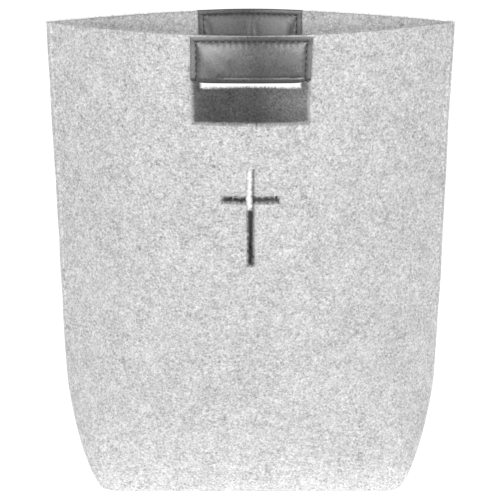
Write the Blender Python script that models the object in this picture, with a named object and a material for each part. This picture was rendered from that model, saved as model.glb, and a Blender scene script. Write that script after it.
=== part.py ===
import math

import bmesh
import bpy

# An open felt bag that stands on a boxed base. Two felt panels meet at side seams and along
# the middle of the base. Each panel has a hand hole below the rim and a cross cut through it,
# and a soft leather wrap folded round the grip strip above the hole.
# All lengths are in metres. Z is up, +Y goes to the back, and the base rests on Z = 0.

RIM_HEIGHT = 0.342
RIM_WIDTH = 0.280
RIM_DEPTH = 0.123
BASE_WIDTH = 0.226
BASE_DEPTH = 0.104
BASE_EDGE_RADIUS = 0.004

FELT_THICKNESS = 0.003
PANEL_GAP = 0.0003
SEAM_ALLOWANCE = 0.009

GRIP_HEIGHT = 0.0278
HOLE_WIDTH = 0.0780
HOLE_HEIGHT = 0.0306

LEATHER_THICKNESS = 0.001
WRAP_CLEARANCE = 0.0003
WRAP_TOP_DROP = 0.0004

CROSS_DROP = 0.0873
CROSS_HEIGHT = 0.070
CROSS_WIDTH = 0.040
CROSS_BAR = 0.0059
CROSS_ARM_DROP = 0.0190
BACK_CROSS_SHIFT = -0.0012
BACK_CROSS_LIFT = 0.0020

# The horizontal section of the bag, from the base to the rim. Height is a share of the rim
# height. Width and depth are shares of the way from the base's size to the rim's. The powers
# set how full the section's corners are: high is boxed, low is a pointed lens.
SECTION_COLUMNS = ("height", "width", "depth", "side_power", "face_power")
SECTION_ROWS = (
    (0.000, 0.00, 0.00, 32.0, 10.0),
    (0.030, 0.27, 0.02, 22.0, 6.3),
    (0.060, 0.51, 0.04, 13.0, 4.0),
    (0.090, 0.71, 0.07, 8.5, 2.75),
    (0.120, 0.87, 0.10, 5.8, 2.0),
    (0.155, 0.99, 0.15, 4.2, 1.5),
    (0.200, 1.04, 0.22, 3.2, 1.22),
    (0.300, 1.06, 0.38, 2.5, 1.08),
    (0.450, 1.05, 0.60, 2.1, 1.03),
    (0.650, 1.03, 0.80, 1.9, 1.01),
    (0.850, 1.01, 0.93, 1.8, 1.00),
    (1.000, 1.00, 1.00, 1.75, 1.00),
)

# Steps round a panel from seam to seam: shares of its length, closer where the base has corners.
CORNER_SHARE = 0.30
CORNER_STEPS = 14
MIDDLE_STEPS = 12
WALL_LEVELS = 22
CURVE_STEPS = 240
WRAP_STATIONS = 16
WRAP_LEVELS = 5


def section_at(height):
    """Half width, half depth and the two powers of the section at a height."""
    share = min(max(height / RIM_HEIGHT, 0.0), 1.0)
    column = SECTION_COLUMNS.index("height")
    upper = 1
    while upper < len(SECTION_ROWS) - 1 and SECTION_ROWS[upper][column] < share:
        upper += 1
    lower = upper - 1
    before = SECTION_ROWS[max(lower - 1, 0)]
    start = SECTION_ROWS[lower]
    end = SECTION_ROWS[upper]
    after = SECTION_ROWS[min(upper + 1, len(SECTION_ROWS) - 1)]
    span = end[column] - start[column]
    t = (share - start[column]) / span
    values = {}
    for i, name in enumerate(SECTION_COLUMNS):
        slope_start = (end[i] - before[i]) / (end[column] - before[column]) * span
        slope_end = (after[i] - start[i]) / (after[column] - start[column]) * span
        values[name] = (
            start[i] * (2 * t**3 - 3 * t**2 + 1)
            + slope_start * (t**3 - 2 * t**2 + t)
            + end[i] * (3 * t**2 - 2 * t**3)
            + slope_end * (t**3 - t**2)
        )
    half_width = (BASE_WIDTH + (RIM_WIDTH - BASE_WIDTH) * values["width"]) / 2
    half_depth = (BASE_DEPTH + (RIM_DEPTH - BASE_DEPTH) * values["depth"]) / 2
    if height < BASE_EDGE_RADIUS:
        rise = BASE_EDGE_RADIUS - height
        inset = BASE_EDGE_RADIUS - math.sqrt(BASE_EDGE_RADIUS**2 - rise**2)
        half_width -= inset
        half_depth -= inset
    return half_width, half_depth, values["side_power"], values["face_power"]


def face_curve(height, offset):
    """The panel's curve from the -X seam to the +X seam, moved into the bag by an offset."""
    half_width, half_depth, side_power, face_power = section_at(height)
    half_depth -= PANEL_GAP / 2
    points = []
    for i in range(CURVE_STEPS + 1):
        angle = math.pi * i / CURVE_STEPS
        along = math.cos(angle)
        across = max(math.sin(angle), 0.0)
        x = -math.copysign(abs(along) ** (2 / side_power), along) * half_width
        y = -(across ** (2 / face_power)) * half_depth
        points.append((x, y))
    if offset == 0.0:
        return points
    moved = []
    for i, (x, y) in enumerate(points):
        first = points[max(i - 1, 0)]
        last = points[min(i + 1, CURVE_STEPS)]
        run = (last[0] - first[0], last[1] - first[1])
        length = math.hypot(*run)
        moved.append((x - run[1] / length * offset, y + run[0] / length * offset))
    return moved


def point_along(points, share):
    """The point at a share of a curve's length."""
    lengths = [0.0]
    for a, b in zip(points, points[1:]):
        lengths.append(lengths[-1] + math.hypot(b[0] - a[0], b[1] - a[1]))
    target = share * lengths[-1]
    i = next(k for k in range(1, len(lengths)) if lengths[k] >= target - 1e-12)
    part = (target - lengths[i - 1]) / (lengths[i] - lengths[i - 1])
    a, b = points[i - 1], points[i]
    return (a[0] + (b[0] - a[0]) * part, a[1] + (b[1] - a[1]) * part)


def panel_shares():
    shares = [CORNER_SHARE * i / CORNER_STEPS for i in range(CORNER_STEPS)]
    middle = 1 - 2 * CORNER_SHARE
    shares += [CORNER_SHARE + middle * i / MIDDLE_STEPS for i in range(MIDDLE_STEPS)]
    shares += [1 - CORNER_SHARE * (CORNER_STEPS - i) / CORNER_STEPS for i in range(CORNER_STEPS + 1)]
    return shares


def outer_points(height, shares):
    curve = face_curve(height, 0.0)
    return [(x, y - PANEL_GAP / 2) for x, y in (point_along(curve, s) for s in shares)]


def inner_points(height, shares):
    """The wall's inner side, from the +X seam allowance's cut end round to the -X one's."""
    half_width = section_at(max(height, BASE_EDGE_RADIUS))[0]
    tip = half_width - SEAM_ALLOWANCE
    fold = -FELT_THICKNESS
    curve = [p for p in face_curve(max(height, BASE_EDGE_RADIUS), FELT_THICKNESS) if p[1] <= fold]
    curve = [p for p in curve if abs(p[0]) <= half_width - FELT_THICKNESS * 0.98]
    inner = [(x, y - PANEL_GAP / 2) for x, y in (point_along(curve, 1 - s) for s in shares)]
    tip = min(tip, inner[0][0] - PANEL_GAP)
    ends = [(tip, -PANEL_GAP / 2), (tip, fold - PANEL_GAP / 2)]
    return ends + inner + [(-x, y) for x, y in reversed(ends)]


def wall_heights():
    """Levels of the wall above the base sheet, closer together near the base."""
    top = RIM_HEIGHT - FELT_THICKNESS
    return [FELT_THICKNESS + top * (i / WALL_LEVELS) ** 1.35 for i in range(WALL_LEVELS + 1)]


def link(obj, collection):
    for owner in list(obj.users_collection):
        owner.objects.unlink(obj)
    collection.objects.link(obj)


def mesh_object(name, bm, collection, material):
    bmesh.ops.recalc_face_normals(bm, faces=bm.faces)
    mesh = bpy.data.meshes.new(name)
    bm.to_mesh(mesh)
    bm.free()
    mesh.materials.append(material)
    mesh.shade_smooth()
    mesh.set_sharp_from_angle(angle=math.radians(35))
    obj = bpy.data.objects.new(name, mesh)
    collection.objects.link(obj)
    return obj


def make_material(name, colour, roughness, metallic):
    material = bpy.data.materials.new(name)
    material.use_nodes = True
    shader = material.node_tree.nodes["Principled BSDF"]
    shader.inputs["Base Color"].default_value = (*colour, 1.0)
    shader.inputs["Roughness"].default_value = roughness
    shader.inputs["Metallic"].default_value = metallic
    material.diffuse_color = (*colour, 1.0)
    return material


def bridge(bm, first, second, closed):
    """Quads between two rings of vertices of the same count."""
    count = len(first)
    for i in range(count if closed else count - 1):
        j = (i + 1) % count
        bm.faces.new((first[i], first[j], second[j], second[i]))


def felt_panel(name, side, collection, material):
    """One panel with its half of the base and its turned-in seam allowances.

    Side is 1 for the front panel and -1 for the back one, which is turned half round."""
    shares = panel_shares()
    bm = bmesh.new()

    def ring(points, height):
        return [bm.verts.new((side * x, side * y, height)) for x, y in points]

    edge_levels = [0.0, FELT_THICKNESS * 0.12, FELT_THICKNESS * 0.45]
    edge_rings = [ring(outer_points(z, shares), z) for z in edge_levels]
    walls = []
    for z in wall_heights():
        walls.append((ring(outer_points(z, shares), z), ring(inner_points(z, shares), z)))

    for lower, upper in zip(edge_rings, edge_rings[1:]):
        bridge(bm, lower, upper, False)
    bridge(bm, edge_rings[-1], walls[0][0], False)
    for lower, upper in zip(walls, walls[1:]):
        bridge(bm, lower[0] + lower[1], upper[0] + upper[1], True)

    # The base sheet's underside, its top, and its straight edge along the middle of the bag.
    bm.faces.new(edge_rings[0])
    bm.faces.new(walls[0][1])
    left = [r[0] for r in edge_rings] + [walls[0][0][0]]
    right = [r[-1] for r in edge_rings] + [walls[0][0][-1]]
    bm.faces.new(left + [walls[0][1][-1], walls[0][1][0]] + right[::-1])

    # The rim: a strip round the panel, closed at each end over the seam allowance.
    outer, inner = walls[-1]
    wall_side = inner[2:-2][::-1]
    bridge(bm, outer, wall_side, False)
    bm.faces.new((outer[-1], inner[0], inner[1], inner[2]))
    bm.faces.new((outer[0], inner[-3], inner[-2], inner[-1]))
    return mesh_object(name, bm, collection, material)


def wrap_profile():
    """The wrap's closed outline, as offsets from the felt's outer face and heights."""
    top = RIM_HEIGHT - WRAP_TOP_DROP
    edge = RIM_HEIGHT - GRIP_HEIGHT - WRAP_CLEARANCE
    near = -WRAP_CLEARANCE
    far = FELT_THICKNESS + WRAP_CLEARANCE
    middle = (near + far) / 2
    radius = (far - near) / 2 + LEATHER_THICKNESS
    levels = [top + (edge - top) * i / WRAP_LEVELS for i in range(WRAP_LEVELS + 1)]
    outside = [(near - LEATHER_THICKNESS, z) for z in levels]
    turn = []
    for i in range(1, 8):
        angle = math.pi * i / 8
        turn.append((middle - math.cos(angle) * radius, edge - math.sin(angle) ** 0.7 * LEATHER_THICKNESS))
    inside = [(far + LEATHER_THICKNESS, z) for z in levels[::-1]]
    back = [(far, z) for z in levels]
    front = [(near, z) for z in levels[::-1]]
    return outside + turn + inside + back + front


def grip_wrap(name, side, collection, material):
    """A leather sheet folded round the grip strip, with both its top edges at the rim."""
    bm = bmesh.new()
    width = HOLE_WIDTH - 2 * WRAP_CLEARANCE
    rings = []
    profile = wrap_profile()
    curves = {}
    for i in range(WRAP_STATIONS + 1):
        x = width * (i / WRAP_STATIONS - 0.5)
        verts = []
        for offset, z in profile:
            key = (round(offset, 9), round(z, 9))
            if key not in curves:
                curves[key] = face_curve(z, offset)
            curve = curves[key]
            k = next(j for j in range(1, len(curve)) if curve[j][0] >= x)
            a, b = curve[k - 1], curve[k]
            y = a[1] + (b[1] - a[1]) * (x - a[0]) / (b[0] - a[0])
            verts.append(bm.verts.new((side * x, side * (y - PANEL_GAP / 2), z)))
        rings.append(verts)
    for first, second in zip(rings, rings[1:]):
        bridge(bm, first, second, True)
    bm.faces.new(rings[0])
    bm.faces.new(rings[-1])
    return mesh_object(name, bm, collection, material)


def box_cutter(name, centre, size, collection):
    bpy.ops.mesh.primitive_cube_add(size=1.0, location=centre)
    cutter = bpy.context.active_object
    cutter.name = name
    cutter.scale = size
    bpy.ops.object.transform_apply(location=False, rotation=False, scale=True)
    cutter.hide_render = True
    cutter.display_type = "WIRE"
    link(cutter, collection)
    return cutter


def cut(obj, cutter):
    modifier = obj.modifiers.new(cutter.name, "BOOLEAN")
    modifier.operation = "DIFFERENCE"
    modifier.solver = "EXACT"
    modifier.object = cutter


def make_cutters(collection):
    """Boxes that run through one panel each: side 1 cuts the front and -1 the back."""
    reach = max(RIM_DEPTH, BASE_DEPTH)
    hole_z = RIM_HEIGHT - GRIP_HEIGHT - HOLE_HEIGHT / 2
    cutters = {}
    for side, word, shift, lift in ((1, "front", 0.0, 0.0), (-1, "back", BACK_CROSS_SHIFT, BACK_CROSS_LIFT)):
        y = -side * reach / 2
        cross_top = RIM_HEIGHT - CROSS_DROP + lift
        stem_z = cross_top - CROSS_HEIGHT / 2
        arm_z = cross_top - CROSS_ARM_DROP - CROSS_BAR / 2
        cutters[side] = (
            box_cutter(f"hand_hole_{word}", (0, y, hole_z), (HOLE_WIDTH, reach, HOLE_HEIGHT), collection),
            box_cutter(f"cross_stem_{word}", (shift, y, stem_z), (CROSS_BAR, reach, CROSS_HEIGHT), collection),
            box_cutter(f"cross_arm_{word}", (shift, y, arm_z), (CROSS_WIDTH, reach, CROSS_BAR), collection),
        )
    return cutters


def build():
    for obj in list(bpy.data.objects):
        bpy.data.objects.remove(obj, do_unlink=True)
    bag = bpy.data.collections.new("felt_bag")
    tools = bpy.data.collections.new("cutters")
    bpy.context.scene.collection.children.link(bag)
    bpy.context.scene.collection.children.link(tools)

    cutters = make_cutters(tools)
    for side, word in ((1, "front"), (-1, "back")):
        felt = make_material(f"felt_{word}", (0.60, 0.60, 0.60), 0.95, 0.0)
        leather = make_material(f"leather_{word}", (0.32, 0.32, 0.33), 0.38, 0.75)
        panel = felt_panel(f"felt_{word}", side, bag, felt)
        for cutter in cutters[side]:
            cut(panel, cutter)
        grip_wrap(f"grip_wrap_{word}", side, bag, leather)


build()
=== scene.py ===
import math
import random

import bpy
from mathutils import Matrix, Vector, noise


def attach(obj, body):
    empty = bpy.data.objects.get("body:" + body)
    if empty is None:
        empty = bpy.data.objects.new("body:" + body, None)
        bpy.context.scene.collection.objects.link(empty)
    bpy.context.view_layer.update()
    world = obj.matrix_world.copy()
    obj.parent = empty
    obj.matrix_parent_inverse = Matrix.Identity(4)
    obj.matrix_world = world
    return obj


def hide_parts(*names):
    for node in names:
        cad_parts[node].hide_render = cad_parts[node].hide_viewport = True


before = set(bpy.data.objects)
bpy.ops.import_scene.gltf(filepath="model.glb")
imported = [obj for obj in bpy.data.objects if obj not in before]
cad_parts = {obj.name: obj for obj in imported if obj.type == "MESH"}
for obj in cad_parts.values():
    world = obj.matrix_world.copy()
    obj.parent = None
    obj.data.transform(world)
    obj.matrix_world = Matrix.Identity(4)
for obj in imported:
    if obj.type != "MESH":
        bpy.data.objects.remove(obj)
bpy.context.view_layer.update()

bpy.ops.object.select_all(action="DESELECT")
print("frame loaded")

# the bag's sizes in metres, as the solids have them
bag = {
    "height": 0.342, "rimWidth": 0.280, "rimDepth": 0.123, "baseWidth": 0.226, "baseDepth": 0.104,
    "baseEdge": 0.004, "felt": 0.003, "gap": 0.0003, "allowance": 0.009,
    "grip": 0.0278, "holeWidth": 0.0780, "holeHeight": 0.0306,
    "crossDrop": 0.0873, "crossHeight": 0.070, "crossWidth": 0.040, "crossBar": 0.0059,
    "armDrop": 0.0190, "backShift": 0.0012, "backLift": 0.0020,
}

# height, width and depth as shares, then how full the section's sides and faces are
sectionRows = (
    (0.000, 0.00, 0.00, 32.0, 10.0),
    (0.030, 0.27, 0.02, 22.0, 6.3),
    (0.060, 0.51, 0.04, 13.0, 4.0),
    (0.090, 0.71, 0.07, 8.5, 2.75),
    (0.120, 0.87, 0.10, 5.8, 2.0),
    (0.155, 0.99, 0.15, 4.2, 1.5),
    (0.200, 1.04, 0.22, 3.2, 1.22),
    (0.300, 1.06, 0.38, 2.5, 1.08),
    (0.450, 1.05, 0.60, 2.1, 1.03),
    (0.650, 1.03, 0.80, 1.9, 1.01),
    (0.850, 1.01, 0.93, 1.8, 1.00),
    (1.000, 1.00, 1.00, 1.75, 1.00),
)


def sectionAt(z):
    share = min(max(z / bag["height"], 0.0), 1.0)
    k = 1
    while k < len(sectionRows) - 1 and sectionRows[k][0] < share:
        k += 1
    start, end = sectionRows[k - 1], sectionRows[k]
    before, after = sectionRows[max(k - 2, 0)], sectionRows[min(k + 1, len(sectionRows) - 1)]
    span = end[0] - start[0]
    t = (share - start[0]) / span
    mix = []
    for i in range(1, 5):
        a = (end[i] - before[i]) / (end[0] - before[0]) * span
        b = (after[i] - start[i]) / (after[0] - start[0]) * span
        mix.append(start[i] * (2*t**3 - 3*t*t + 1) + a * (t**3 - 2*t*t + t) + end[i] * (3*t*t - 2*t**3) + b * (t**3 - t*t))
    halfWidth = (bag["baseWidth"] + (bag["rimWidth"] - bag["baseWidth"]) * mix[0]) / 2
    halfDepth = (bag["baseDepth"] + (bag["rimDepth"] - bag["baseDepth"]) * mix[1]) / 2
    r = bag["baseEdge"]
    if z < r:
        inset = r - math.sqrt(r * r - (r - z) ** 2)
        halfWidth, halfDepth = halfWidth - inset, halfDepth - inset
    return halfWidth, halfDepth, mix[2], mix[3]


curveStore = {}


def faceCurve(z):  # the front face's outer line at a height, from the -X seam to the +X seam
    key = round(z, 7)
    if key not in curveStore:
        w, d, p, q = sectionAt(z)
        d -= bag["gap"] / 2
        line = []
        for i in range(361):
            c, s = math.cos(math.pi * i / 360), max(math.sin(math.pi * i / 360), 0.0)
            line.append((-math.copysign(abs(c) ** (2 / p), c) * w, -(s ** (2 / q)) * d - bag["gap"] / 2))
        run = [0.0]
        for a, b in zip(line, line[1:]):
            run.append(run[-1] + math.hypot(b[0] - a[0], b[1] - a[1]))
        curveStore[key] = (line, run)
    return curveStore[key]


def atX(z, x):  # the point of the line at x
    line, run = faceCurve(z)
    lo, hi = 0, len(line) - 1
    while hi - lo > 1:
        mid = (lo + hi) // 2
        lo, hi = (mid, hi) if line[mid][0] <= x else (lo, mid)
    t = (x - line[lo][0]) / max(line[hi][0] - line[lo][0], 1e-12)
    return line[lo][1] + (line[hi][1] - line[lo][1]) * t, run[lo] + (run[hi] - run[lo]) * t


def atRun(z, length):  # the point of the line that lies a length along it
    line, run = faceCurve(z)
    lo, hi = 0, len(line) - 1
    while hi - lo > 1:
        mid = (lo + hi) // 2
        lo, hi = (mid, hi) if run[mid] <= length else (lo, mid)
    t = (length - run[lo]) / max(run[hi] - run[lo], 1e-12)
    return line[lo][0] + (line[hi][0] - line[lo][0]) * t, line[lo][1] + (line[hi][1] - line[lo][1]) * t


def sag(x, z, side):  # soft waves of the felt, nothing at the base and little round the wraps
    low = min(z / 0.03, 1.0)
    calm = 1 - math.exp(-((max(abs(x) - 0.045, 0) / 0.03) ** 2 + (max(bag["height"] - 0.065 - z, 0) / 0.04) ** 2))
    wave = noise.noise(Vector((x * 22, side * 5, z * 16))) + 0.5 * noise.noise(Vector((x * 47, side * 9, z * 39)))
    return 0.0007 * wave * low * calm


def spaced(stops, step):  # values from stop to stop, no further apart than a step
    out = [stops[0]]
    for a, b in zip(stops, stops[1:]):
        n = max(1, math.ceil(abs(b - a) / step - 1e-6))
        out += [a + (b - a) * i / n for i in range(1, n + 1)]
    return out


def deselectAll():
    bpy.ops.object.select_all(action="DESELECT")


def pick(obj):
    deselectAll()
    obj.select_set(True)
    bpy.context.view_layer.objects.active = obj


def addGrid(name, nx, ny):
    bpy.ops.mesh.primitive_grid_add(x_subdivisions=nx, y_subdivisions=ny, size=2)
    obj = bpy.context.active_object
    obj.name = name
    obj.data.name = name
    spots = [(round((v.co.x + 1) / 2 * nx), round((v.co.y + 1) / 2 * ny)) for v in obj.data.vertices]
    return obj, spots


def useModifier(obj, kind, **settings):
    pick(obj)
    mod = obj.modifiers.new(kind.title(), kind)
    for key, value in settings.items():
        setattr(mod, key, value)
    bpy.ops.object.modifier_apply(modifier=mod.name)


def smooth(obj, degrees):
    pick(obj)
    bpy.ops.object.shade_smooth_by_angle(angle=math.radians(degrees))


def deleteFaces(obj, test):
    pick(obj)
    bpy.ops.object.mode_set(mode="EDIT")
    bpy.ops.mesh.select_mode(type="FACE")
    bpy.ops.mesh.select_all(action="DESELECT")
    bpy.ops.object.mode_set(mode="OBJECT")
    for face in obj.data.polygons:
        face.select = test(face.center)
    bpy.ops.object.mode_set(mode="EDIT")
    bpy.ops.mesh.select_mode(type="FACE")
    bpy.ops.mesh.delete(type="FACE")
    bpy.ops.object.mode_set(mode="OBJECT")


def turnHalf(obj):  # the back is the front turned half round
    for v in obj.data.vertices:
        v.co.x, v.co.y = -v.co.x, -v.co.y


def crossPlace(side):  # middle of the stem, top of the stem, top of the arm and foot of the stem
    shift, lift = (0.0, 0.0) if side > 0 else (bag["backShift"], bag["backLift"])
    top = bag["height"] - bag["crossDrop"] + lift
    return shift, top, top - bag["armDrop"], top - bag["crossHeight"]


class Sock:  # a shader socket with the usual operators
    def __init__(self, tree, link):
        self.tree, self.link = tree, link

    def maths(self, operation, other=None, third=None, swap=False):
        node = self.tree.nodes.new("ShaderNodeMath")
        node.operation = operation
        parts = [self, other, third]
        if swap:
            parts = [other, self, third]
        for slot, part in zip(node.inputs, parts):
            if isinstance(part, Sock):
                self.tree.links.new(part.link, slot)
            elif part is not None:
                slot.default_value = part
        return Sock(self.tree, node.outputs[0])

    def __add__(self, other):
        return self.maths("ADD", other)

    __radd__ = __add__

    def __mul__(self, other):
        return self.maths("MULTIPLY", other)

    __rmul__ = __mul__

    def __sub__(self, other):
        return self.maths("SUBTRACT", other)

    def __rsub__(self, other):
        return self.maths("SUBTRACT", other, swap=True)

    def __truediv__(self, other):
        return self.maths("DIVIDE", other)

    def __pow__(self, other):
        return self.maths("POWER", other)

    def clamp(self, low=0.0, high=1.0):
        return self.maths("MAXIMUM", low).maths("MINIMUM", high)


class Finish:  # one material being built
    def __init__(self, name):
        self.material = bpy.data.materials.new(name)
        self.material.use_nodes = True
        self.tree = self.material.node_tree
        self.shader = self.tree.nodes["Principled BSDF"]

    def node(self, kind, settings=None, **inputs):
        made = self.tree.nodes.new(kind)
        for key, value in (settings or {}).items():
            setattr(made, key, value)
        for key, value in inputs.items():
            slot = made.inputs[key.replace("_", " ")]
            if isinstance(value, Sock):
                self.tree.links.new(value.link, slot)
            else:
                slot.default_value = value
        return made

    def out(self, node, name=0):
        return Sock(self.tree, node.outputs[name])

    def coords(self, name="Object"):
        return self.out(self.node("ShaderNodeTexCoord"), name)

    def moved(self, coords, scale=(1, 1, 1), turn=(0, 0, 0), shift=(0, 0, 0)):
        return self.out(self.node("ShaderNodeMapping", None, Vector=coords, Scale=scale, Rotation=turn, Location=shift))

    def noise(self, coords, size, detail=2.0, distortion=0.0, roughness=0.5):  # size of a blotch in metres
        return self.out(self.node("ShaderNodeTexNoise", None, Vector=coords, Scale=1 / size, Detail=detail,
                                  Distortion=distortion, Roughness=roughness))

    def blend(self, factor, first, second):
        made = self.node("ShaderNodeMix", {"data_type": "RGBA"})
        for slot, value in ((made.inputs[0], factor), (made.inputs[6], first), (made.inputs[7], second)):
            if isinstance(value, Sock):
                self.tree.links.new(value.link, slot)
            else:
                slot.default_value = value
        return Sock(self.tree, made.outputs[2])

    def grey(self, value):  # a number as a colour
        return self.out(self.node("ShaderNodeCombineColor", None, Red=value, Green=value, Blue=value))

    def feed(self, name, value):
        if isinstance(value, Sock):
            self.tree.links.new(value.link, self.shader.inputs[name])
        else:
            self.shader.inputs[name].default_value = value

    def bump(self, height, strength, distance):
        made = self.node("ShaderNodeBump", None, Height=height)
        made.inputs["Strength"].default_value = strength
        made.inputs["Distance"].default_value = distance
        self.feed("Normal", self.out(made, "Normal"))


feltLook = {
    "grey": 0.62, "roughness": 0.96, "bump": 0.5,
    "blotches": ((0.0013, 1.05), (0.0026, 0.44), (0.005, 0.22), (0.010, 0.17), (0.020, 0.11), (0.045, 0.09)),
    "streak": 0.16,
}


def feltFinish(name, grey):
    look = feltLook
    made = Finish(name)
    at = made.coords()
    tone = 1.0
    layers = []
    for k, (size, weight) in enumerate(look["blotches"]):  # light and dark fibres blended at many scales
        layer = made.noise(made.moved(at, shift=(0.13 * k, 0.29 * k, 0.07 * k)), size, 0.0, 0.8 if k < 3 else 0.2)
        layers.append(layer)
        tone = (layer - 0.5) * weight + tone
    for k, turn in enumerate(((0.3, 0.5, 0.7), (0.9, -0.4, -0.6))):  # a few short curled strands
        strand = made.noise(made.moved(at, (0.25, 1, 1), turn, (0.3 * k, 0.1, 0.2)), 0.0020, 1.0, 1.2)
        line = 1 - (strand - 0.5).maths("ABSOLUTE") * 14
        tone = line.clamp() * (look["streak"] if k else -look["streak"]) + tone
    made.feed("Base Color", made.grey((tone * grey).clamp(0.10, 0.90)))
    made.feed("Roughness", look["roughness"])
    made.feed("Specular IOR Level", 0.1)
    made.bump(layers[0] + layers[1], look["bump"], 0.0005)
    return made.material


def threadFinish(name, grey):
    made = Finish(name)
    at = made.coords()
    twist = made.noise(at, 0.0004, 1.0)
    made.feed("Base Color", made.grey((twist - 0.5) * grey * 0.6 + grey))
    made.feed("Roughness", 0.6)
    made.bump(twist, 0.3, 0.0001)
    return made.material


leatherLook = {"grey": 0.19, "metallic": 0.85, "roughness": 0.44, "grain": 0.0009, "bump": 0.35}


def leatherFinish(name):
    look = leatherLook
    made = Finish(name)
    at = made.coords()
    # painted shade: the base colour is darkened along the stitch groove, most under each stitch
    grooveShade = made.out(made.node("ShaderNodeAttribute", {"attribute_name": "grooveShade"}), "Fac")
    # painted shade: the base colour is darkened on the top border and at the fold's ends
    border = made.out(made.node("ShaderNodeAttribute", {"attribute_name": "border"}), "Fac")
    cells = made.out(made.node("ShaderNodeTexVoronoi", {"feature": "DISTANCE_TO_EDGE"}, Vector=at, Scale=1 / look["grain"]), "Distance")
    speck = made.noise(at, 0.0012, 1.0, 0.4)
    patch = made.noise(at, 0.009, 2.0, 0.6)
    tone = (speck - 0.5) * 0.9 + (patch - 0.5) * 0.25 + 1
    made.feed("Base Color", made.grey(tone * (1 - grooveShade * 0.55) * (1 - border * 0.22) * look["grey"]))
    made.feed("Metallic", look["metallic"])
    made.feed("Roughness", (patch - 0.5) * 0.2 + (speck - 0.5) * 0.25 + look["roughness"])
    made.bump(cells.clamp(0.0, 0.25) * 2 + speck, look["bump"], 0.00015)
    return made.material


felt = feltFinish("greyFelt", feltLook["grey"])
# painted highlight: the stray fibres are the felt in a lighter grey, so they read as lit against the dark inside
litFibreFelt = feltFinish("litLooseFibres", 0.80)
leather = leatherFinish("silverLeather")
thread = threadFinish("greyThread", 0.035)
print("materials made")

panel = {"straight": 0.060, "sideSteps": 44, "step": 0.0026, "rowStep": 0.0030, "baseRows": 14, "rounding": 0.0005}


def wallRows(side):
    h = bag["height"]
    shift, top, arm, foot = crossPlace(side)
    stops = [h, h - bag["grip"], h - bag["grip"] - bag["holeHeight"], top, arm, arm - bag["crossBar"], foot, bag["baseEdge"]]
    return spaced(stops, panel["rowStep"]) + [0.0025, 0.0014, 0.0006, 0.00015, 0.0]


def wallColumns(shift):
    half = panel["straight"]
    hole, bar, arm = bag["holeWidth"] / 2, bag["crossBar"] / 2, bag["crossWidth"] / 2
    stops = sorted([-half, -hole, shift - arm, shift - bar, shift + bar, shift + arm, hole, half])
    middle = [("x", x) for x in spaced(stops, panel["step"])]
    n = panel["sideSteps"]
    return [("left", i / n) for i in range(n)] + middle + [("right", (i + 1) / n) for i in range(n)]


def wallPoint(column, z, side):
    kind, value = column
    if kind == "x":
        x, y = value, atX(z, value)[0]
    else:
        total = faceCurve(z)[1][-1]
        edge = atX(z, panel["straight"])[1]
        length = (total - edge) * value if kind == "left" else edge + (total - edge) * value
        x, y = atRun(z, length)
    return x, y


def inOpening(x, z, side):
    h = bag["height"]
    shift, top, arm, foot = crossPlace(side)
    if abs(x) < bag["holeWidth"] / 2 and h - bag["grip"] - bag["holeHeight"] < z < h - bag["grip"]:
        return True
    if abs(x - shift) < bag["crossBar"] / 2 and foot < z < top:
        return True
    return abs(x - shift) < bag["crossWidth"] / 2 and arm - bag["crossBar"] < z < arm


def feltPanel(name, side):
    columns, rows = wallColumns(crossPlace(side)[0]), wallRows(side)
    nx, ny = len(columns) - 1, len(rows) - 1 + panel["baseRows"]
    obj, spots = addGrid(name, nx, ny)
    flat = {}
    for v, (i, j) in zip(obj.data.vertices, spots):
        j = ny - j  # rows run from the rim down and then in under the base
        z = rows[min(j, len(rows) - 1)]
        x, y = wallPoint(columns[i], z, side)
        if j < len(rows):
            out = Vector((x / sectionAt(z)[0] ** 2, y / sectionAt(z)[1] ** 2, 0)).normalized()
            x, y = x + out.x * sag(x, z, side), y + out.y * sag(x, z, side)
        else:
            t = (j - len(rows) + 1) / panel["baseRows"]
            y = -bag["gap"] / 2 + (y + bag["gap"] / 2) * (1 - t)
        v.co = (x, min(y, -bag["gap"] / 2), z)
    deleteFaces(obj, lambda c: inOpening(c.x, c.z, side) and c.y < -0.02)
    pick(obj)
    bpy.ops.object.mode_set(mode="EDIT")
    bpy.ops.mesh.select_all(action="SELECT")
    bpy.ops.mesh.remove_doubles(threshold=0.00002)
    bpy.ops.mesh.normals_make_consistent(inside=False)
    bpy.ops.object.mode_set(mode="OBJECT")
    middle = min(obj.data.polygons, key=lambda f: (f.center - Vector((0, -0.06, 0.15))).length)
    if middle.normal.y > 0:
        obj.data.flip_normals()
    useModifier(obj, "SOLIDIFY", thickness=bag["felt"], offset=-1.0, use_even_offset=True)
    for v in obj.data.vertices:
        v.co.y = min(v.co.y, -bag["gap"] / 2)
        v.co.z = max(v.co.z, 0.0)

    strips = []
    for hand in (-1, 1):  # the allowance turned in along each side seam
        strip, places = addGrid(name + "Allowance", 3, 70)
        for v, (i, j) in zip(strip.data.vertices, places):
            z = bag["felt"] + (bag["height"] - bag["felt"] - 0.0002) * j / 70
            w = sectionAt(max(z, bag["baseEdge"]))[0]
            x = w - bag["allowance"] + (bag["allowance"] - 0.0022) * i / 3
            wobble = 0.0002 * noise.noise(Vector((hand * 3, side, z * 120)))
            v.co = (hand * (x + (wobble if i == 0 else 0)), -bag["gap"] / 2, z)
        if strip.data.polygons[0].normal.y < 0:
            strip.data.flip_normals()
        useModifier(strip, "SOLIDIFY", thickness=bag["felt"], offset=-1.0)
        strips.append(strip)
    pick(obj)
    for strip in strips:
        strip.select_set(True)
    bpy.ops.object.join()
    if side < 0:
        turnHalf(obj)
    smooth(obj, 50)
    obj.data.materials.clear()
    obj.data.materials.append(felt)
    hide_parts("felt_front" if side > 0 else "felt_back")
    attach(obj, "root")
    return obj


feltPanel("feltFront", 1)
feltPanel("feltBack", -1)
print("felt panels made")

fuzz = {"thickness": 0.00012, "length": 0.0030, "rimCount": 1300, "holeCount": 2000, "crossCount": 1500}


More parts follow.
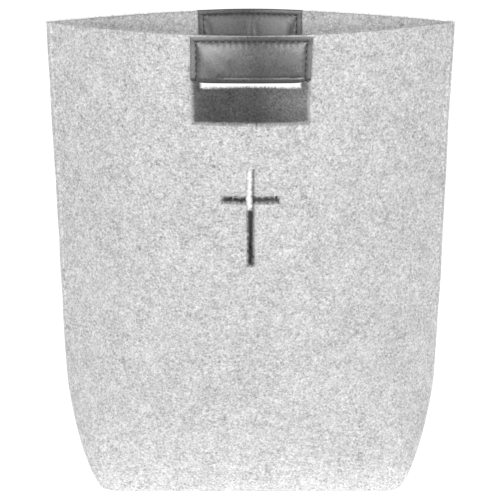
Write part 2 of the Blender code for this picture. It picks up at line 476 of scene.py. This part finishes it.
def feltFuzz(name, side):  # loose fibres along the cut edges
    rnd = random.Random(11 + side)
    h = bag["height"]
    s, top, arm, end = crossPlace(side)
    bar, cross, hole = bag["crossBar"] / 2, bag["crossWidth"] / 2, bag["holeWidth"] / 2
    low, high = h - bag["grip"] - bag["holeHeight"], h - bag["grip"]
    edges = [((-hole, low), (hole, low), (0, 1), 3.0), ((-hole, low), (-hole, high), (1, 0), 1.6), ((hole, low), (hole, high), (-1, 0), 1.6)]
    corners = [(s - bar, top), (s + bar, top), (s + bar, arm), (s + cross, arm), (s + cross, arm - 2 * bar), (s + bar, arm - 2 * bar),
               (s + bar, end), (s - bar, end), (s - bar, arm - 2 * bar), (s - cross, arm - 2 * bar), (s - cross, arm), (s - bar, arm)]
    crossEdges = []
    for a, b in zip(corners, corners[1:] + corners[:1]):
        dx, dz = b[0] - a[0], b[1] - a[1]
        n = math.hypot(dx, dz)
        crossEdges.append((a, b, (dz / n, -dx / n), n))
    data = bpy.data.curves.new(name, "CURVE")
    data.dimensions = "3D"
    data.bevel_depth = fuzz["thickness"]
    data.bevel_resolution = 0

    def strand(start, direction, length):
        spline = data.splines.new("POLY")
        spline.points.add(3)
        place, way = Vector(start), Vector(direction).normalized()
        for k, point in enumerate(spline.points):
            point.co = (*place, 1)
            point.radius = 1.0 - 0.2 * k
            way = (way + Vector((rnd.uniform(-1, 1), rnd.uniform(-1, 1), rnd.uniform(-1, 1))) * 0.55).normalized()
            place = place + way * length / 3

    def feltPoint(x, z, depth):
        y = atX(z, x)[0]
        return side * x, side * (y + depth), z

    def alongEdges(edges, count):
        total = sum(e[3] for e in edges)
        for a, b, way, share in edges:
            for _ in range(int(count * share / total)):
                t, depth = rnd.random(), rnd.choice((rnd.uniform(0, 0.0004), rnd.uniform(0, 0.003), rnd.uniform(0.0026, 0.003)))
                x, z = a[0] + (b[0] - a[0]) * t, a[1] + (b[1] - a[1]) * t
                outward = -1 if depth < 0.0015 else 1
                strand(feltPoint(x, z, depth), (side * way[0] + rnd.uniform(-1, 1), side * outward * rnd.uniform(0.1, 1), way[1] + rnd.uniform(-1, 1)),
                       fuzz["length"] * rnd.uniform(0.3, 1.0))

    alongEdges(edges, fuzz["holeCount"])
    alongEdges(crossEdges, fuzz["crossCount"])
    line, run = faceCurve(h)
    for _ in range(fuzz["rimCount"]):
        x, y = atRun(h, run[-1] * rnd.random())
        if abs(x) < hole:
            continue
        depth = rnd.choice((0, 0, rnd.uniform(0, 0.003), 0.003))
        strand((side * x, side * min(y + depth, -0.0002), h - 0.0001), (rnd.uniform(-1, 1), side * (-1 if depth < 0.0015 else 1) * rnd.uniform(0, 1), rnd.uniform(0.2, 1)),
               fuzz["length"] * rnd.uniform(0.25, 0.8))
    obj = bpy.data.objects.new(name, data)
    bpy.context.scene.collection.objects.link(obj)
    pick(obj)
    bpy.ops.object.convert(target="MESH")
    obj = bpy.context.active_object
    obj.data.materials.clear()
    obj.data.materials.append(litFibreFelt)
    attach(obj, "root")
    return obj


feltFuzz("fuzzFront", 1)
feltFuzz("fuzzBack", -1)
print("cut edge fibres made")

wrap = {
    "clearance": 0.0003, "thickness": 0.0008, "topDrop": 0.0004, "border": 0.0030, "sideBorder": 0.0036, "puff": 0.0011, "rise": 0.0022, "slump": 0.0010,
    "askew": 0.0009, "backRise": 0.0011, "outerBulge": 0.0006, "innerBulge": 0.0024,
    "pucker": {"front": 0.75, "back": 0.35}, "puckerReach": 0.0012,
    "pitch": 0.0040, "columns": 150, "leafRows": 56, "foldRows": 12, "dip": 0.00022,
}
# soft folds in the leather, as lines on a leaf: leaf, ends as (x, drop below the rim), half width, height
creases = {
    "front": (
        ("outer", (-0.034, 0.006), (-0.020, 0.022), 0.0040, 0.00030),
        ("outer", (-0.026, 0.004), (-0.014, 0.014), 0.0028, 0.00022),
        ("outer", (-0.020, 0.0262), (0.036, 0.0262), 0.0014, -0.0006),
        ("outer", (0.004, 0.006), (0.010, 0.022), 0.0050, 0.00012),
        ("inner", (-0.010, 0.006), (-0.014, 0.026), 0.0030, 0.00035),
        ("inner", (0.012, 0.005), (0.016, 0.026), 0.0030, 0.00035),
    ),
    "back": (
        ("inner", (-0.0010, 0.006), (0.0022, 0.027), 0.0018, 0.00045),
        ("inner", (-0.0030, 0.006), (-0.0072, 0.027), 0.0020, 0.00045),
        ("inner", (-0.0280, 0.010), (-0.0320, 0.027), 0.0030, 0.00030),
        ("inner", (0.0290, 0.010), (0.0320, 0.027), 0.0026, 0.00026),
        ("outer", (-0.012, 0.006), (-0.016, 0.026), 0.0030, 0.00035),
        ("outer", (0.015, 0.005), (0.012, 0.026), 0.0030, 0.00035),
    ),
}


def nearLine(px, pz, a, b):
    dx, dz = b[0] - a[0], b[1] - a[1]
    t = max(0.0, min(1.0, ((px - a[0]) * dx + (pz - a[1]) * dz) / (dx * dx + dz * dz)))
    return math.hypot(px - a[0] - dx * t, pz - a[1] - dz * t), t


def leafHeight(x, drop, leaf, word):  # how far the leather stands off, the painted shade in its stitch groove, and the painted shade on its top border
    half = bag["holeWidth"] / 2 - wrap["clearance"]
    inSide, inTop = half - wrap["sideBorder"] - abs(x), drop - wrap["border"]
    inward = min(inSide, inTop)
    along = x if inTop < inSide else drop - wrap["border"]
    beat = 0.5 + 0.5 * math.cos(2 * math.pi * along / wrap["pitch"])  # 1 at a needle hole
    if inward > 0:
        h = wrap["puff"] * (1 - math.exp(-inSide / wrap["rise"])) * (1 - math.exp(-inTop / wrap["rise"]))
        h *= 1 - wrap["pucker"][word] * math.exp(-inward / wrap["puckerReach"]) * beat
        low = min(inTop / (bag["grip"] - wrap["border"] - 0.0012), 1.0)
        full = 1 - math.exp(-inSide / 0.004)
        if leaf == "outer":
            h += wrap["outerBulge"] * math.sin(math.pi * low) * full
        elif leaf == "inner":  # the inner leaf hangs loose and bags out lower down
            h += wrap["innerBulge"] * math.sin(math.pi * low ** 1.6) * full
        for kind, a, b, width, height in creases[word]:
            if kind == leaf:
                far, t = nearLine(x, drop, a, b)
                h += height * math.exp(-(far / width) ** 2) * (0.35 + 0.65 * t) * (1 - math.exp(-inward / 0.002))
    else:
        outer = min(half - abs(x), drop)
        h = 0.00012 * math.sin(math.pi * min(max(outer / wrap["border"], 0), 1))
    # the groove is a real dent; the second value paints shade into it, darkest under each stitch
    groove = math.exp(-(inward / 0.00042) ** 2)
    h -= wrap["dip"] * groove * (0.4 + 0.6 * beat)
    # the third value is painted shade for the border: 1 on it, fading inward
    return h, groove * (0.75 - 0.45 * beat), 1.0 if inward < 0 else math.exp(-inward / 0.0006)


def wrapX(u, drop):  # the leather is sewn on a little to the right, most at the top
    half = bag["holeWidth"] / 2 - wrap["clearance"]
    lift = max(0.0, 1 - drop / (bag["grip"] - 0.001))
    return half * u + wrap["askew"] * (0.35 + 0.5 * (u + 1) / 2) * lift


def wrapRise(side, leaf, u, drop):  # the back wrap's top is a little high, and the ends of both hang lower
    if side > 0:
        return wrap["topDrop"] * max(0.0, 1 - drop / 0.006) - wrap["slump"] * u * u
    top = max(0.0, 1 - drop / 0.012)
    return wrap["backRise"] * top - (0.0002 * top + wrap["slump"] * (1 - top)) * u * u


def wrapPath():  # leaf, height and offset from the felt's outer face, down one side and up the other
    h = bag["height"]
    top, edge = h - wrap["topDrop"], h - bag["grip"]
    reach = wrap["clearance"] + wrap["thickness"]
    centre = edge + 0.0012
    path = []
    for i in range(wrap["leafRows"]):
        path.append(("outer", top + (centre - top) * i / wrap["leafRows"], -reach))
    wide, deep = bag["felt"] / 2 + reach, 0.0025
    for i in range(wrap["foldRows"] + 1):
        a = math.pi * i / wrap["foldRows"]
        path.append(("fold", centre - deep * math.sin(a), bag["felt"] / 2 - wide * math.cos(a)))
    for i in range(1, wrap["leafRows"] + 1):
        path.append(("inner", centre + (top - centre) * i / wrap["leafRows"], bag["felt"] + reach))
    return path


def leatherWrap(name, side):
    word = "front" if side > 0 else "back"
    half = bag["holeWidth"] / 2 - wrap["clearance"]
    path = wrapPath()
    nx, ny = wrap["columns"], len(path) - 1
    obj, spots = addGrid(name, nx, ny)
    # per point: painted shade in the stitch groove and painted shade on the top border
    grooveShade, border = [], []
    for v, (i, j) in zip(obj.data.vertices, spots):
        leaf, z, offset = path[j]
        drop = bag["height"] - wrap["topDrop"] - z
        flat = half * (2 * i / nx - 1)
        x = wrapX(flat / half, drop)
        z += wrapRise(side, leaf, flat / half, drop)
        y0 = atX(z, x)[0]
        y1 = atX(z, x + 0.001)[0]
        across = Vector((y1 - y0, -0.001, 0)).normalized()  # away from the bag
        if leaf == "fold":
            swell, stitchGrooveShade, borderShade = leafHeight(flat, bag["grip"] - 0.0012, "none", word)
            # painted shade on the fold only at its ends, below the side borders
            borderShade *= 0.0 if abs(flat) < half - wrap["sideBorder"] else 1.0
            a = math.pi * (j - wrap["leafRows"]) / wrap["foldRows"]
            place = Vector((x, y0, z)) - across * offset
            place += (across * math.cos(a) + Vector((0, 0, -1)) * math.sin(a)) * swell
        else:
            swell, stitchGrooveShade, borderShade = leafHeight(flat, drop, leaf, word)
            # painted shade only on the top border and just below it, not on the side borders
            borderShade *= 1.0 if drop < wrap["border"] + 0.002 else 0.0
            sign = 1 if leaf == "outer" else -1
            place = Vector((x, y0, z)) + across * (-offset + sign * swell)
        v.co = place
        grooveShade.append(stitchGrooveShade)
        border.append(borderShade)
    pick(obj)
    for word2, values in (("grooveShade", grooveShade), ("border", border)):
        obj.data.attributes.new(word2, "FLOAT", "POINT").data.foreach_set("value", values)
    middle = min(obj.data.polygons, key=lambda f: (f.center - Vector((0, -0.07, 0.33))).length)
    if middle.normal.y > 0:
        obj.data.flip_normals()
    useModifier(obj, "SOLIDIFY", thickness=wrap["thickness"] * 0.8, offset=-1.0)
    if side < 0:
        turnHalf(obj)
    smooth(obj, 60)
    obj.data.materials.clear()
    obj.data.materials.append(leather)
    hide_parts("grip_wrap_front" if side > 0 else "grip_wrap_back")
    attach(obj, "root")
    return obj


leatherWrap("wrapFront", 1)
leatherWrap("wrapBack", -1)
print("wraps made")

stitch = {"length": 0.0026, "thick": 0.00062, "sunk": 0.00022}


def stitchRow(name, side):  # threads along the top and both sides of each leaf
    word = "front" if side > 0 else "back"
    bpy.ops.mesh.primitive_uv_sphere_add(segments=8, ring_count=6, radius=0.5)
    one = bpy.context.active_object
    for v in one.data.vertices:
        v.co = (v.co.z * stitch["length"], v.co.x * stitch["thick"], v.co.y * stitch["thick"])
    edge = bag["holeWidth"] / 2 - wrap["clearance"]
    half = edge - wrap["sideBorder"]
    reach = wrap["clearance"] + wrap["thickness"]
    pitch = wrap["pitch"]
    places = []
    n = int(half / pitch)
    for leaf in ("outer", "inner"):
        for i in range(-n - 1, n + 1):
            x = (i + 0.5) * pitch
            if abs(x) < half:
                places.append((leaf, x, wrap["border"], 0.0))
        rows = int((bag["grip"] - wrap["border"]) / pitch)
        for hand in (-1, 1):
            for i in range(rows):
                places.append((leaf, hand * half, wrap["border"] + (i + 0.5) * pitch, math.pi / 2))
    verts, faces = [], []
    base = [v.co.copy() for v in one.data.vertices]
    shape = [tuple(f.vertices) for f in one.data.polygons]
    rnd = random.Random(5)
    for leaf, x, drop, turn in places:
        z = bag["height"] - wrap["topDrop"] - drop + wrapRise(side, leaf, x / edge, drop)
        x = wrapX(x / edge, drop)
        y0, y1 = atX(z, x)[0], atX(z, x + 0.001)[0]
        across = Vector((y1 - y0, -0.001, 0)).normalized()
        along = Vector((-across.y, across.x, 0))
        up = Vector((0, 0, 1))
        sign = 1 if leaf == "outer" else -1
        lift = reach + stitch["thick"] / 2 - stitch["sunk"]
        centre = Vector((x, y0, z)) + across * (lift if leaf == "outer" else -(bag["felt"] + lift))
        spin = turn + rnd.uniform(-0.06, 0.06)
        a = along * math.cos(spin) + up * math.sin(spin)
        b = up * math.cos(spin) - along * math.sin(spin)
        start = len(verts)
        for p in base:
            bend = -0.00012 * (2 * p.x / stitch["length"]) ** 2
            verts.append(centre + a * p.x + b * p.y + across * sign * (p.z + bend))
        faces += [tuple(k + start for k in f) for f in shape]
    mesh = bpy.data.meshes.new(name)
    mesh.from_pydata(verts, [], faces)
    obj = bpy.data.objects.new(name, mesh)
    bpy.context.scene.collection.objects.link(obj)
    bpy.data.objects.remove(one, do_unlink=True)
    pick(obj)
    bpy.ops.object.mode_set(mode="EDIT")
    bpy.ops.mesh.select_all(action="SELECT")
    bpy.ops.mesh.normals_make_consistent(inside=False)
    bpy.ops.object.mode_set(mode="OBJECT")
    if side < 0:
        turnHalf(obj)
    smooth(obj, 80)
    obj.data.materials.append(thread)
    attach(obj, "root")
    return obj


stitchRow("stitchesFront", 1)
stitchRow("stitchesBack", -1)
print("stitches made")

stage = {"floorSize": 12.0, "floorGlow": 0.95, "frontGlow": 0.05, "world": 0.40, "key": 13.5, "fill": 12.0, "lowKey": 2.8, "lowFill": 2.4}


def setStage():
    bpy.ops.mesh.primitive_plane_add(size=stage["floorSize"], location=(0, 0, -0.0002))
    floor = bpy.context.active_object
    floor.name = "glowingFloor"
    made = Finish("glowingFloor")
    where = made.node("ShaderNodeSeparateXYZ", None, Vector=made.coords())
    front = (made.out(where, "Y") * -14 - 0.95).clamp()  # the glow fades in front of the bag
    # painted light: the floor's own colour is a mid grey; it looks white and lights the bag because it glows
    made.feed("Base Color", (0.3, 0.3, 0.3, 1))
    made.feed("Roughness", 0.9)
    made.feed("Specular IOR Level", 0.0)
    made.feed("Emission Color", made.grey(front * (stage["frontGlow"] - stage["floorGlow"]) + stage["floorGlow"]))
    made.feed("Emission Strength", 1.0)
    floor.data.materials.append(made.material)

    world = bpy.data.worlds.new("studio")
    bpy.context.scene.world = world
    world.use_nodes = True
    back = world.node_tree.nodes["Background"]
    back.inputs["Color"].default_value = (1, 1, 1, 1)
    back.inputs["Strength"].default_value = stage["world"]


def addLamp(name, place, target, size, power):
    bpy.ops.object.light_add(type="AREA", location=place)
    lamp = bpy.context.active_object
    lamp.name = name
    lamp.data.shape = "RECTANGLE"
    lamp.data.size, lamp.data.size_y = size
    lamp.data.energy = power
    lamp.rotation_euler = (Vector(target) - Vector(place)).to_track_quat("-Z", "Y").to_euler()


setStage()
addLamp("keySoftbox", (-0.95, -1.53, 0.64), (0, 0, 0.33), (0.7, 0.42), stage["key"])
addLamp("fillSoftbox", (1.20, -1.40, 0.66), (0, 0, 0.33), (0.5, 0.42), stage["fill"])
addLamp("lowKeySoftbox", (-0.88, -1.57, 0.27), (0, 0, 0.33), (0.62, 0.5), stage["lowKey"])
addLamp("lowFillSoftbox", (1.20, -1.35, 0.27), (0, 0, 0.33), (0.34, 0.5), stage["lowFill"])

view = {"lens": 77.54, "place": (0.0, -0.7467, 0.4522), "pitch": 20.34}
bpy.ops.object.camera_add(location=view["place"], rotation=(math.radians(90 - view["pitch"]), 0, 0))
camera = bpy.context.active_object
camera.data.lens = view["lens"]
camera.data.sensor_width = 36.0
camera.data.shift_x = -0.0012
camera.data.clip_start = 0.01
bpy.context.scene.view_settings.view_transform = "Standard"
bpy.context.scene.camera = camera
print("stage set")
